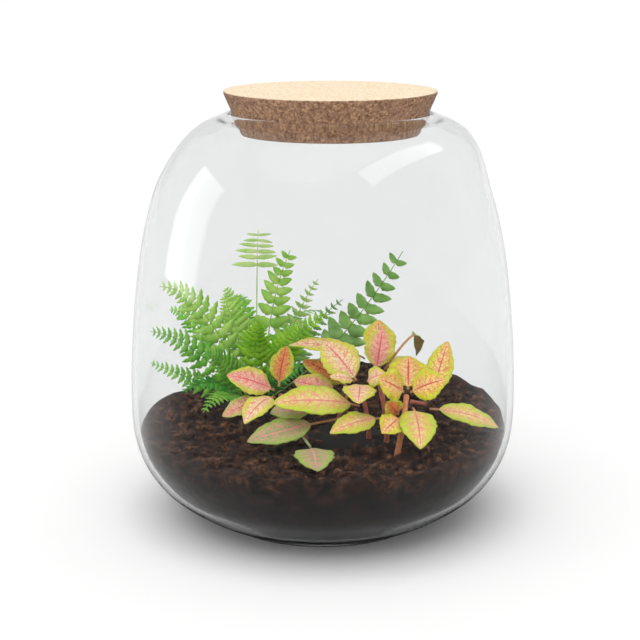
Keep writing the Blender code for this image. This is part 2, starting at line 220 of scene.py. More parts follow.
def soft_sun(name, strength, spread, tilt):
    """A wide sun lamp that the glass doesn't mirror. Spread and tilt are in degrees."""
    data = bpy.data.lights.new(name, "SUN")
    data.energy = strength
    data.angle = math.radians(spread)
    lamp = link(name, data)
    lamp.rotation_euler = [math.radians(turn) for turn in tilt]
    lamp.visible_glossy = False


soft_sun("overhead_sun", 1.60, 62, (14, -6, 0))
soft_box("soft_box_left", (-1.12, 0.08, 0.46), (0, 0, 0.19), 0.6, 0.72, 6)
soft_box("soft_box_right", (0.75, -0.2, 1.05), (0, 0, 0.2), 1.5, 0.34, 7)
soft_sun("front_fill", 0.5, 60, (62, 0, -12))
print(len(bpy.data.lights), "lamps")

# %% [markdown]
# ## Turned shapes
# The jar and its stopper are round, so each is one outline turned about its axis. The jar's outline
# is a smooth curve through ten points; the wall is the same curve moved in by the glass's thickness.


# %% Curve and turning helpers
def smooth_curve(knots, steps):
    """Catmull-Rom curve through given knots."""
    pts = [Vector(k) for k in knots]
    out = []
    for i in range(len(pts) - 1):
        a, b = pts[i], pts[i + 1]
        before = pts[i - 1] if i else a * 2 - b
        after = pts[i + 2] if i + 2 < len(pts) else b * 2 - a
        for k in range(steps):
            t = k / steps
            out.append(0.5 * ((2 * a) + (b - before) * t + (2 * before - 5 * a + 4 * b - after) * t * t
                              + (3 * a - before - 3 * b + after) * t ** 3))
    out.append(pts[-1])
    return out


def inset(points, distance):
    """Move a bottom-to-top outline towards the axis."""
    out = []
    for i, p in enumerate(points):
        along = (points[min(i + 1, len(points) - 1)] - points[max(i - 1, 0)]).normalized()
        out.append(p + Vector((-along.y, along.x)) * distance)
    return out


def turned(name, profile, sides):
    """A mesh object from (radius, height) points in mm, turned about Z."""
    mesh = bpy.data.meshes.new(name)
    bm = bmesh.new()
    verts = [bm.verts.new((r * MM, 0, z * MM)) for r, z in profile]
    edges = [bm.edges.new(pair) for pair in zip(verts, verts[1:])]
    bmesh.ops.spin(bm, geom=verts + edges, cent=(0, 0, 0), axis=(0, 0, 1), angle=2 * math.pi, steps=sides)
    bmesh.ops.remove_doubles(bm, verts=bm.verts, dist=1e-5)
    bmesh.ops.recalc_face_normals(bm, faces=bm.faces)
    for face in bm.faces:
        face.smooth = True
    bm.to_mesh(mesh)
    bm.free()
    return link(name, mesh)


MOUTH_SHIFT = 4.4         # mm that the mouth sits to the right of the jar's axis
LEAN_FROM = 195           # mm above the floor, where the glass starts to lean
LEAN_OVER = 45            # mm of height in which it reaches the whole shift


def lean(z):
    """How far in mm the glass sits to the right at a height in mm."""
    t = min(max((z - LEAN_FROM) / LEAN_OVER, 0), 1)
    return MOUTH_SHIFT * t * t * (3 - 2 * t)


print("mouth sits", lean(LEAN_FROM + LEAN_OVER), "mm to the right")


# %% [markdown]
# ## Glass jar
# Blown soda-lime glass about 3 mm thick, with a fire-polished round lip. It could be a single skin
# with a thin-glass trick, but a real wall with two faces bends light at the edges and gives the
# double line of the lip, so it is modelled as a solid.

# %% Jar mesh
JAR_OUTSIDE = [(65, 0), (85.5, 11.7), (101.8, 26), (112.2, 46.4), (115, 73.8), (112.3, 125.7),
               (105.2, 174.5), (93.8, 211.3), (80.2, 232.6), (60.6, 243)]
WALL = 3.0
FLOOR_OF_GLASS = 5.0
LIP_RADIUS = 1.9
LIP_CENTRE = (58.6, 241.3)
JAR_SIDES = 144
outside = smooth_curve(JAR_OUTSIDE, 8)
inside = [p for p in inset(outside, WALL) if p.y > FLOOR_OF_GLASS + 0.6]
lip = [(LIP_CENTRE[0] + LIP_RADIUS * math.cos(math.radians(a)),
        LIP_CENTRE[1] + LIP_RADIUS * math.sin(math.radians(a))) for a in range(255, 75, -15)]
profile = [(0, FLOOR_OF_GLASS), (50, FLOOR_OF_GLASS), (60, FLOOR_OF_GLASS + 0.1)]
profile += [tuple(p) for p in inside[:-2]] + lip + [tuple(p) for p in reversed(outside[:-1])] + [(0, 0)]
jar = turned("jar_of_blown_glass", profile, JAR_SIDES)
for v in jar.data.vertices:
    v.co.x += lean(v.co.z / MM) * MM
print("jar", len(jar.data.polygons), "faces, box differs by",
      round(box_difference(jar, "glass_jar"), 2), "mm")

# %% [markdown]
# ### The glass
# A Glass shader would do, but the Principled shader keeps one set of sockets for every piece. Real
# soda-lime glass has an IOR of about 1.5. The 1.22 here is not physical: it was chosen by trial,
# because it lays less pale haze over the soil than 1.35 or 1.5 do. Some haze remains.

# %% Blown glass
# Soda-lime glass, blown and fire polished: clear, with a faint grey and sharp reflections.
glass, tree, shader = new_material("blown_soda_lime_glass", Roughness=0.0, IOR=1.22,
                                   Transmission_Weight=1.0)
waves = add_node(tree, "ShaderNodeTexNoise", {"Scale": 9.0, "Detail": 1.0})
faint_grey = blend_colours(tree, waves.outputs[0], linear("F2F3F3"), linear("F4F5F5"))
tree.links.new(faint_grey, shader.inputs["Base Color"])
place(jar, glass, ["glass_jar"])
jar.visible_shadow = False
jar.visible_diffuse = False
print("glass IOR", shader.inputs["IOR"].default_value)

# %% [markdown]
# ## Cork stopper
# A tapered disc cut from pressed granulated cork. The sanded top is fine, and painted pale as painted
# light from above; the side shows the cut grains, darker, with small pits. The pits are in the mesh,
# the grains in the material.

# %% Stopper mesh
STOPPER_FOOT, STOPPER_TOP = 231.5, 255.7
FOOT_RADIUS, TOP_RADIUS = 52.0, 62.5
PIT_DEPTH = 1.1
slope = (TOP_RADIUS - FOOT_RADIUS) / (STOPPER_TOP - STOPPER_FOOT)
side_points = [(FOOT_RADIUS + slope * h, STOPPER_FOOT + h) for h in [0.8 + 0.55 * k for k in range(41)]]
profile = [(r, STOPPER_TOP) for r in (0, 12, 24, 36, 48, 56, 60, 61.7)] + list(reversed(side_points))
profile += [(r, STOPPER_FOOT) for r in (51.2, 40, 20, 0)]
cork = turned("stopper_of_pressed_cork", profile, 200)
for v in cork.data.vertices:
    radius = math.hypot(v.co.x, v.co.y)
    if STOPPER_FOOT + 0.4 < v.co.z / MM < STOPPER_TOP - 0.3:
        pit = max(noise.noise(v.co * 420) - 0.12, 0) + 0.5 * max(noise.noise(v.co * 900) - 0.2, 0)
        v.co.x *= 1 - PIT_DEPTH * MM * pit / radius
        v.co.y *= 1 - PIT_DEPTH * MM * pit / radius
    v.co.x += MOUTH_SHIFT * MM
print("stopper box differs by", round(box_difference(cork, "cork_stopper"), 2), "mm")

# %% [markdown]
# ### The cork
# The grains are random cells with one tone each, which a cell texture gives at once. The side and
# the top share them in two sets of tones, chosen by how far the surface looks up. The top's set is a
# paler copy, painted light from above, and the dark specks are painted fainter there.

# %% Pressed cork
# Pressed granulated cork, sawn and sanded: matte and warm. Real grains are 1 to 3 mm; these are
# 1.3 mm cells, with dark bark specks 1.6 mm apart.
pressed_cork, tree, shader = new_material("pressed_granulated_cork", Roughness=0.85, IOR=1.4)
where = add_node(tree, "ShaderNodeTexCoord").outputs["Object"]
grains = add_node(tree, "ShaderNodeTexVoronoi", {"Vector": where, "Scale": 1 / (1.3 * MM)})
specks = add_node(tree, "ShaderNodeTexNoise", {"Vector": where, "Scale": 1 / (1.6 * MM), "Detail": 4.0})
tone = add_node(tree, "ShaderNodeSeparateColor", {0: grains.outputs["Color"]}).outputs[0]
side_colour = ramp(tree, tone, [(0.0, linear("7A5A43")), (0.4, linear("93705A")),
                                (0.75, linear("A37E62")), (1.0, linear("B8926F"))])
# Painted light: the top's tones are a paler, lit copy of the side's, as if lit from above.
painted_lit_top_colour = ramp(tree, tone, [(0.0, linear("E9CDA9")), (0.3, linear("F6DFBF")), (1.0, linear("FDEBD0"))])
up = add_node(tree, "ShaderNodeSeparateXYZ", {0: add_node(tree, "ShaderNodeNewGeometry").outputs["Normal"]})
lit_top_mask = maths(tree, "MULTIPLY", maths(tree, "SUBTRACT", up.outputs[2], 0.55), 4.0, clamp=True)
colour = blend_colours(tree, lit_top_mask, side_colour, painted_lit_top_colour)
dark = ramp(tree, specks.outputs[0], [(0.0, (1, 1, 1, 1)), (0.36, (1, 1, 1, 1)), (0.42, (0, 0, 0, 1))])
# Painted light: the dark specks are painted fainter on the lit top.
strength = maths(tree, "SUBTRACT", 0.75, maths(tree, "MULTIPLY", lit_top_mask, 0.45))
dark_part = maths(tree, "MULTIPLY", dark, strength)
tree.links.new(blend_colours(tree, dark_part, colour, linear("5A3B28")), shader.inputs["Base Color"])
rough = add_node(tree, "ShaderNodeBump", {"Height": specks.outputs[0], "Strength": 0.5, "Distance": 0.0006})
tree.links.new(rough.outputs[0], shader.inputs["Normal"])
place(cork, pressed_cork, ["cork_stopper"])
print("cork in two sets of tones")

# %% [markdown]
# ## Soil
# Potting soil lies loose: a lumpy skin with crumbs and root fibres on it, and a side where it meets
# the glass that is painted near black below the top, as painted shade. The skin is a fine ring grid
# raised by noise, and the crumbs and fibres are scattered over it as one mesh.


# %% Soil surface
SOIL_LEVEL = 55.5         # mm above the floor, at the front


def soil_height(x, y):
    """Height in mm of the bed at a place in mm, with its bank at the back."""
    t = min(max((y + 60) / 170, 0), 1)
    bank = (6.0 + 5.0 * x / 110) * t * t * (3 - 2 * t)
    lumps = 1.1 * math.sin(0.09 * x + 0.6) * math.cos(0.08 * y) + 0.7 * math.sin(0.19 * x - 0.15 * y + 1)
    return SOIL_LEVEL + bank + lumps


def crumbled(x, y):
    """Soil height in mm with its crumbs."""
    p = Vector((x, y, 0))
    rough_part = 3.0 * noise.noise(p * 0.09) + 2.4 * noise.noise(p * 0.21) + 1.8 * noise.noise(p * 0.5)
    return soil_height(x, y) + rough_part + 0.3


GLASS_GAP = 0.3           # mm between soil and glass
SKIN = inset(outside, WALL + GLASS_GAP)


def side_radius(z):
    """Radius in mm of the room inside the glass at a height in mm."""
    for low, high in zip(SKIN, SKIN[1:]):
        if low.y <= z <= high.y:
            return low.x + (high.x - low.x) * (z - low.y) / (high.y - low.y)
    return SKIN[-1].x


print("soil from", round(soil_height(0, -100), 1), "mm high in front to", round(soil_height(0, 100), 1))

# %% Soil mesh
SOIL_SIDES = 220
RIM_FROM = 107            # mm from the axis, where the bed meets the glass
profile = [(0, 55.0)] + [(1.6 * k, 55.0) for k in range(1, 67)] + [(side_radius(55) - 0.2, 55.0)]
profile += [(side_radius(z) - 0.2, z) for z in (50, 45, 40, 34, 28, 22, 17, 13, 10)] + [(60, 5.4), (0, 5.4)]
soil = turned("potting_soil_fill", profile, SOIL_SIDES)
for v in soil.data.vertices:
    if v.co.z / MM < 54.9:
        continue
    x, y = v.co.x / MM, v.co.y / MM
    z = crumbled(x, y)
    radius = math.hypot(x, y)
    if radius > RIM_FROM:
        z = soil_height(x, y) + 0.9 * noise.noise(Vector((x, y, 9)) * 0.12)
        z += 0.4 * noise.noise(Vector((x, y, 3)) * 0.5)
        scale = (side_radius(z) - 0.25) / radius
        x, y = x * scale, y * scale
    v.co = (x * MM, y * MM, z * MM)
print("soil", len(soil.data.polygons), "faces, box differs by",
      round(box_difference(soil, "potting_soil"), 2), "mm")


# %% Crumbs
def scattered(reach):
    """An even random place in mm within reach of the axis."""
    radius = reach * math.sqrt(random.random())
    angle = random.uniform(0, 2 * math.pi)
    return radius * math.cos(angle), radius * math.sin(angle)


random.seed(7)
bm = bmesh.new()
CRUMBS = 2600
for _ in range(CRUMBS):
    x, y = scattered(104)
    size = random.choice([0.7, 0.9, 1.2, 1.6, 2.2, 3.0]) * random.uniform(0.8, 1.2)
    made = bmesh.ops.create_icosphere(bm, subdivisions=1, radius=size * MM)["verts"]
    squash = (random.uniform(0.7, 1.5), random.uniform(0.6, 1.2), random.uniform(0.5, 0.9))
    centre = Vector((x, y, crumbled(x, y) + 0.2 * size))
    for v in made:
        bump = 1 + 0.35 * noise.noise(v.co * 900 + centre)
        v.co = Vector((v.co.x * squash[0], v.co.y * squash[1], v.co.z * squash[2])) * bump + centre * MM
print(CRUMBS, "crumbs")

# %% Fibres
FIBRES = 1500
FIBRE_STEP = 1.5          # mm between a fibre's bends
LOOSE_REACH = 107.5       # mm from the axis that loose bits stay within
for _ in range(FIBRES):
    x, y = scattered(102)
    heading, turn = random.uniform(0, 2 * math.pi), random.uniform(-0.5, 0.5)
    thick = random.uniform(0.10, 0.22)
    last = None
    for k in range(5):
        z = crumbled(x, y) + 0.5 + random.uniform(0, 0.7)
        across = Vector((-math.sin(heading), math.cos(heading), 0)) * thick
        ring = [bm.verts.new((Vector((x, y, z)) + off) * MM) for off in
                (across, -across, Vector((0, 0, thick * 1.6)))]
        if last:
            for i in range(3):
                bm.faces.new((last[i], last[(i + 1) % 3], ring[(i + 1) % 3], ring[i]))
        else:
            bm.faces.new(ring)
        last = ring
        heading += turn
        x += FIBRE_STEP * math.cos(heading)
        y += FIBRE_STEP * math.sin(heading)
    bm.faces.new(reversed(last))
for v in bm.verts:
    reach = math.hypot(v.co.x, v.co.y) / MM
    if reach > LOOSE_REACH:
        v.co.x *= LOOSE_REACH / reach
        v.co.y *= LOOSE_REACH / reach
bmesh.ops.recalc_face_normals(bm, faces=bm.faces)
crumb_mesh = bpy.data.meshes.new("soil_crumbs_and_fibres")
bm.to_mesh(crumb_mesh)
bm.free()
crumbs = link("soil_crumbs_and_fibres", crumb_mesh)
print("crumbs and fibres", len(crumb_mesh.polygons), "faces")

# %% [markdown]
# ### The soil's finish
# One noise gives clods about 7 mm across in three browns, and the same noise drives the bump. Below
# the top the colour is painted almost black, darker towards the bottom: painted shade.


# %% Damp potting soil
# Damp peat and bark: very rough, so it has no shine, and brown on top.
def soil_material(name, low, middle, high):
    mat, tree, shader = new_material(name, Roughness=0.95, IOR=1.4)
    where = add_node(tree, "ShaderNodeTexCoord").outputs["Object"]
    clods = add_node(tree, "ShaderNodeTexNoise",
                     {"Vector": where, "Scale": 1 / (7 * MM), "Detail": 8.0, "Roughness": 0.75})
    colour = ramp(tree, clods.outputs[0], [(0.36, linear(low)), (0.5, linear(middle)), (0.66, linear(high))])
    height = add_node(tree, "ShaderNodeSeparateXYZ", {0: where}).outputs[2]
    # Painted shade: below its top the soil is painted near black, darker towards the bottom.
    painted_shade_below = ramp(tree, maths(tree, "MULTIPLY", height, 1 / (60 * MM)),
                   [(0.1, (1, 1, 1, 1)), (0.75, (0.75, 0.75, 0.75, 1)), (0.9, (0, 0, 0, 1))])
    # Painted shade: the near-black colour for the soil's side and bottom.
    side = ramp(tree, clods.outputs[0], [(0.3, linear("060708")), (0.7, linear("1E1818"))])
    tree.links.new(blend_colours(tree, painted_shade_below, colour, side), shader.inputs["Base Color"])
    bump = add_node(tree, "ShaderNodeBump",
                    {"Height": clods.outputs[0], "Strength": 1.0, "Distance": 0.0015})
    tree.links.new(bump.outputs[0], shader.inputs["Normal"])
    return mat


damp_soil = soil_material("damp_potting_soil", "0A0504", "26150E", "5E3C2A")
crumb_soil = soil_material("crumbed_peat_and_fibre", "140A07", "3C2418", "8E6244")
# The root plug and the fern's rootstock, which lie under the leaves, get this near-black mix.
peat_plug = soil_material("near_black_root_plug_mix", "060505", "0D0A09", "2A201B")
place(soil, damp_soil, ["potting_soil"])
place(crumbs, crumb_soil)
for name in ("nerve_plant_root_plug", "fern_rootstock"):
    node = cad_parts[name]
    node.data.materials.clear()
    node.data.materials.append(peat_plug)
print("soil in three mixes")

# %% [markdown]
# ## Nerve plant
# A low creeping plant with soft oval leaves whose pink veins make a net. Its stems are round and
# taper a little, so a bevelled curve through a few given points is enough for each.


# %% Stem paths
# Points in mm from foot to top, and radius in mm
STEMS = {
    "nerve_stem_right": ([(41, -67, 51), (43, -64, 61), (46, -57, 74), (48, -47, 86)], 1.7),
    "nerve_stem_centre": ([(27, -42, 51), (26, -42, 70), (22, -40, 89)], 1.4),
    "nerve_stem_back": ([(36, -46, 51), (37, -48, 66), (35, -43, 80), (32, -28, 94)], 1.5),
    "nerve_stem_low": ([(6, -38, 51), (9, -35, 68), (15, -30, 82)], 1.2),
    "nerve_stem_left": ([(-8, -40, 51), (-13, -40, 66), (-25, -38, 84)], 1.2),
    "nerve_side_stalk_right": ([(50.4, -46, 82), (55, -44, 80.5), (60, -43, 79.5)], 1.1),
    "nerve_side_stalk_front": ([(-19, -41.5, 72.5), (-13, -56, 66.5), (-7, -77, 65)], 0.8),
}
print(len(STEMS), "stem paths")


# %% Downy stem
# Young stem with fine down: satin with a faint sheen, red, orange or green from stem to stem.
def stem_material(name, low, high):
    mat, tree, shader = new_material(name, Roughness=0.5, IOR=1.45, Sheen_Weight=0.3)
    where = add_node(tree, "ShaderNodeTexCoord").outputs["Object"]
    streaks = add_node(tree, "ShaderNodeTexNoise", {"Vector": where, "Scale": 1 / (3 * MM), "Detail": 3.0})
    tree.links.new(ramp(tree, streaks.outputs[0], [(0.3, linear(low)), (0.7, linear(high))]),
                   shader.inputs["Base Color"])
    return mat


red_stem = stem_material("downy_red_stem", "8E3F2E", "CF7458")
orange_stem = stem_material("downy_orange_stem", "B0602C", "DB9055")
green_stem = stem_material("downy_green_stem", "7C8A45", "B9BE77")
print("three stem colours")

# %% Stem tubes
for name, (path, radius) in STEMS.items():
    curve = bpy.data.curves.new(name, "CURVE")
    curve.dimensions = "3D"
    curve.bevel_depth = radius * MM
    curve.bevel_resolution = 5
    curve.use_fill_caps = True
    spline = curve.splines.new("POLY")
    points = smooth_curve(path, 8)
    spline.points.add(len(points) - 1)
    for index, (point, co) in enumerate(zip(spline.points, points)):
        point.co = (*(co * MM), 1)
        point.radius = 1 + 0.12 * math.sin(index * 1.3) ** 4 - 0.15 * index / len(points)
    mat = {"nerve_stem_right": orange_stem, "nerve_side_stalk_front": green_stem}.get(name, red_stem)
    place(link(name + "_grown", curve), mat, [name])
print(len(STEMS), "stems")

# %% [markdown]
# ### Nerve leaves
# A leaf could be a flat card with a picture on it, but its edge and folds show from the side. Here
# each is a fine grid bent along an arched midrib, with sides that lift and an edge that waves, and
# it is then thickened. Two maps on the blade carry its own length and width, and how near the edge
# a spot is, for the veins to follow.

# %% Leaf places
# Base, tip (mm), arch of the midrib, width, direction the upper face looks, share that is stalk, kind
LEAVES = {
    1: ((-28, -39, 86.5), (-55, -44, 97), 3, 17, (0.1, -0.75, 0.65), 0.10, "pink"),
    2: ((-25.5, -35, 87.5), (-21, -24, 109), 2, 15, (-0.3, -0.9, 0.3), 0.12, "rust"),
    3: ((-28, -41.5, 83.5), (-44, -66, 75), 4, 16, (-0.2, -0.6, 0.75), 0.15, "peach"),
    4: ((-28, -36, 81.5), (-57, -56, 76), 3, 13, (0, -0.6, 0.8), 0.30, "tan"),
    5: ((8, -42, 77.5), (-30, -60, 79), 2, 14, (0, -0.6, 0.8), 0.40, "old"),
    6: ((11, -47, 72), (-42, -77, 68), 2, 17, (0.2, -0.55, 0.8), 0.35, "old"),
    7: ((21, -45, 79), (-28, -68, 87.5), 4, 21, (0.1, -0.6, 0.8), 0.12, "lime"),
    8: ((10, -33, 81), (-17, -32, 90), 3, 16, (0, -0.7, 0.7), 0.15, "pink"),
    9: ((25, -15, 99), (-20, -14, 107), 5, 12, (0, -0.45, 0.9), 0.15, "peach"),
    10: ((15, -26, 84.5), (-12, -13, 97), 3, 15, (0, -0.55, 0.8), 0.12, "rust"),
    11: ((19.5, -38, 92), (0, -25, 112), 3, 23, (0.3, -0.85, 0.45), 0.08, "peach"),
    12: ((21.5, -43, 91), (20, -63, 86), 2, 19, (0, -0.65, 0.75), 0.08, "peach"),
    13: ((18, -40.5, 92.5), (4, -47, 97), 1.5, 9, (0, -0.6, 0.8), 0.10, "peach"),
    14: ((25.5, -39.5, 92), (36, -44, 98), 1.5, 13, (0, -0.7, 0.7), 0.10, "peach"),
    15: ((31, -28.5, 96), (35, -20, 119), 2, 18, (0.1, -0.95, 0.3), 0.08, "pink"),
    16: ((33.5, -25, 96), (33, -5, 120), 2, 20, (0.2, -0.9, 0.4), 0.22, "gold"),
    17: ((36.2, -24.5, 94.5), (57, 10, 94), 20, 8, (0.3, -0.3, 0.9), 0.50, "old"),
    18: ((37, -33, 91), (57, -17, 98), 2, 17, (0, -0.8, 0.6), 0.10, "peach"),
    19: ((49, -44, 88.5), (50, -26, 103), 2, 24, (0, -0.75, 0.65), 0.08, "gold"),
    20: ((46.5, -48, 88), (31, -58, 99), 2, 19, (0.3, -0.8, 0.5), 0.10, "gold"),
    21: ((50, -48, 88), (70, -52, 97), 2, 19, (-0.1, -0.8, 0.6), 0.10, "gold"),
    22: ((62, -40, 82), (74, -13, 109), 1, 16, (0.1, -0.9, 0.4), 0.10, "gold"),
    23: ((51.5, -52, 80), (54, -84, 66), 4, 21, (0.1, -0.7, 0.7), 0.15, "lime"),
    24: ((61.5, -44.5, 77), (102, -35, 63), 4, 14, (0, -0.6, 0.8), 0.12, "lime"),
    25: ((43, -58.5, 78), (36, -66, 88), 1, 12, (0, -1, 0.3), 0.10, "rust"),
    26: ((44, -61.5, 77), (33, -78, 73), 2, 15, (0, -0.7, 0.6), 0.15, "gold"),
    27: ((33.5, -50, 73), (4, -71, 71), 3, 15, (0, -0.6, 0.8), 0.15, "lime"),
    28: ((-6.5, -78.5, 64.5), (-3, -103, 59.5), 2, 22, (0.1, -0.6, 0.8), 0.05, "old"),
}
print(len(LEAVES), "leaf places")


# %% Leaf blade
LEAF_THICKNESS = 0.35     # mm


def bezier(a, b, c, t):
    return a * (1 - t) ** 2 + b * (2 * t * (1 - t)) + c * t * t


def half_width(t, width, stalk):
    """Half the leaf's width in mm at a share of its length: a thin stalk, then an oval."""
    if t < stalk:
        return 0.7
    s = (t - stalk) / (1 - stalk)
    oval = math.sin(math.pi * s ** 0.85) ** 0.75 if 0 < s < 1 else 0
    return max(width / 2 * oval, 0.7 if s < 0.5 else 0.12)


def build_leaf(number, base, tip, arch, width, face, stalk):
    """One leaf with its stalk, in mm, waved differently for each number."""
    base, tip, face = Vector(base), Vector(tip), Vector(face)
    side0 = (tip - base).cross(face).normalized()
    up = side0.cross(tip - base).normalized()
    control = (base + tip) / 2 + up * (2 * arch)
    length = (tip - base).length
    mesh = bpy.data.meshes.new("nerve_leaf")
    bm = bmesh.new()
    bmesh.ops.create_grid(bm, x_segments=40, y_segments=16, size=1)
    blade_map = bm.loops.layers.uv.new("blade")
    edge_map = bm.loops.layers.uv.new("edge")
    spots = {}
    for v in bm.verts:
        t, s = (v.co.x + 1) / 2, v.co.y
        centre = bezier(base, control, tip, t)
        ahead = bezier(base, control, tip, min(t + 0.01, 1)) - bezier(base, control, tip, max(t - 0.01, 0))
        ahead.normalize()
        side = ahead.cross(up).normalized()
        normal = side.cross(ahead)
        half = half_width(t, width, stalk)
        blade = (t - stalk) / (1 - stalk)
        lift = abs(s) * half * 0.18 - 0.12 * half * s ** 4
        if blade > 0:
            lift += 0.55 * abs(s) ** 2 * math.sin(blade * 17 + number * 2.1 + (1.5 if s > 0 else 0))
            vein = abs((blade * 6.5 - abs(s) * 1.3) % 1 - 0.5)
            lift += 0.35 * vein * (1 - abs(s)) * math.sin(math.pi * min(blade, 1))
            half *= 1 + 0.035 * math.sin(blade * 43 + number)
        v.co = (centre + side * (s * half) + normal * lift) * MM
        spots[v] = (blade, s * half / 10 + 0.5)
    for f in bm.faces:
        f.smooth = True
        for loop in f.loops:
            blade, across = spots[loop.vert]
            loop[blade_map].uv = (blade, across)
            half = half_width(stalk + max(blade, 0) * (1 - stalk), width, stalk)
            loop[edge_map].uv = (min(abs(across - 0.5) * 10 / half, 1.2), length * max(blade, 0) / 50)
    bm.to_mesh(mesh)
    bm.free()
    leaf = link("nerve_leaf_%02d_blade" % number, mesh)
    solid = leaf.modifiers.new("thickness", "SOLIDIFY")
    solid.thickness = LEAF_THICKNESS * MM
    solid.offset = 0
    return leaf


print("leaf blades", LEAF_THICKNESS, "mm thick")

# %% [markdown]
# ### The leaf's finish
# Colour runs from a pink or cream middle to a yellow-green margin, and darker veins are drawn over
# it: a midrib, side ribs and a net of cells. Drawing them in the blade's own maps makes them follow
# each leaf as it bends.

# %% Leaf tones
# A soft living leaf: satin, with a little light passing through and a net of sunken coloured veins.
# Middle, between, margin and vein colour
KINDS = {
    "pink": ("F6B09C", "F0C09A", "C8D244", "DC5E66"),
    "rust": ("DE8A44", "D8A048", "B4C42C", "A83428"),
    "peach": ("FDE0B8", "F8E39A", "D6DE4A", "E67A6C"),
    "tan": ("E8B090", "E2B88C", "BCC668", "C46C60"),
    "old": ("8CA468", "9CAC6C", "8CB444", "E8948C"),
    "lime": ("F2D48C", "D8D84C", "BCD830", "E88474"),
    "gold": ("FAD890", "F2D85C", "D0DC2C", "DC5A4C"),
}
print(len(KINDS), "leaf tones")


# %% Leaf material
def leaf_material(kind):
    centre, middle, margin, vein_colour = (linear(code) for code in KINDS[kind])
    mat, tree, shader = new_material("living_leaf_" + kind, Roughness=0.42, IOR=1.42,
                                     Subsurface_Weight=0.25, Subsurface_Scale=0.002)
    shader.inputs["Subsurface Radius"].default_value = (1.0, 0.6, 0.2)
    blade = add_node(tree, "ShaderNodeUVMap", uv_map="blade").outputs[0]
    edge = add_node(tree, "ShaderNodeUVMap", uv_map="edge").outputs[0]
    along = add_node(tree, "ShaderNodeSeparateXYZ", {0: blade})
    out = add_node(tree, "ShaderNodeSeparateXYZ", {0: edge})
    patches = add_node(tree, "ShaderNodeTexNoise", {"Vector": blade, "Scale": 6.0, "Detail": 3.0})
    wander = maths(tree, "MULTIPLY", maths(tree, "SUBTRACT", patches.outputs[0], 0.5), 0.5)
    reach = maths(tree, "ADD", out.outputs[0], wander)
    body = ramp(tree, reach, [(0.18, centre), (0.5, middle), (0.76, margin), (1.0, margin)])
    midrib = maths(tree, "LESS_THAN", out.outputs[0], 0.05)
    steps = maths(tree, "SUBTRACT", maths(tree, "MULTIPLY", along.outputs[0], 6.5),
                  maths(tree, "MULTIPLY", out.outputs[0], 1.3))
    ladder = maths(tree, "ABSOLUTE", maths(tree, "SUBTRACT", maths(tree, "FRACT", steps), 0.5))
    ribs = ramp(tree, ladder, [(0.02, (1, 1, 1, 1)), (0.07, (0, 0, 0, 1))])
    # Net cells are about 2 mm across; the blade map is 1 wide per 10 mm and 1 long per leaf.
    stretched = add_node(tree, "ShaderNodeMapping", {"Vector": blade, "Scale": (17.0, 5.0, 1.0)})
    cells = add_node(tree, "ShaderNodeTexVoronoi", {"Vector": stretched.outputs[0], "Scale": 1.0},
                     feature="DISTANCE_TO_EDGE")
    net = ramp(tree, cells.outputs["Distance"], [(0.02, (1, 1, 1, 1)), (0.10, (0, 0, 0, 1))])
    veins = maths(tree, "MAXIMUM", midrib, maths(tree, "MAXIMUM", maths(tree, "MULTIPLY", ribs, 0.9),
                                                 maths(tree, "MULTIPLY", net, 0.8)))
    fade = ramp(tree, reach, [(0.55, (1, 1, 1, 1)), (1.0, (0.25, 0.25, 0.25, 1))])
    drawn = maths(tree, "MULTIPLY", veins, fade)
    veined = blend_colours(tree, drawn, body, vein_colour)
    is_stalk = maths(tree, "LESS_THAN", along.outputs[0], 0.0)
    tree.links.new(blend_colours(tree, is_stalk, veined, linear("C08A5C")), shader.inputs["Base Color"])
    bump = add_node(tree, "ShaderNodeBump", {"Height": veins, "Strength": 0.35, "Distance": 0.0004},
                    invert=True)
    tree.links.new(bump.outputs[0], shader.inputs["Normal"])
    return mat


leaf_materials = {kind: leaf_material(kind) for kind in KINDS}
print(len(leaf_materials), "leaf materials")

# %% Leaves in place
worst = 0
for number, spec in LEAVES.items():
    leaf = build_leaf(number, *spec[:-1])
    node = "nerve_leaf_%02d" % number
    worst = max(worst, box_difference(leaf, node))
    place(leaf, leaf_materials[spec[-1]], [node])
print(len(LEAVES), "leaves, boxes differ from their nodes by at most", round(worst, 1), "mm")

# %% [markdown]
# ## Fern
# Fronds rise from one crown and arch outwards. Each has a wiry midrib with leaflets on both sides,
# and each leaflet has lobes of its own. The low fronds are deep green and the upper ones are pale.
# Leaflets cut out by a see-through texture would be lighter, but their edges would be lost in the
# mesh, so every leaflet is a strip of faces that narrows between its lobes.

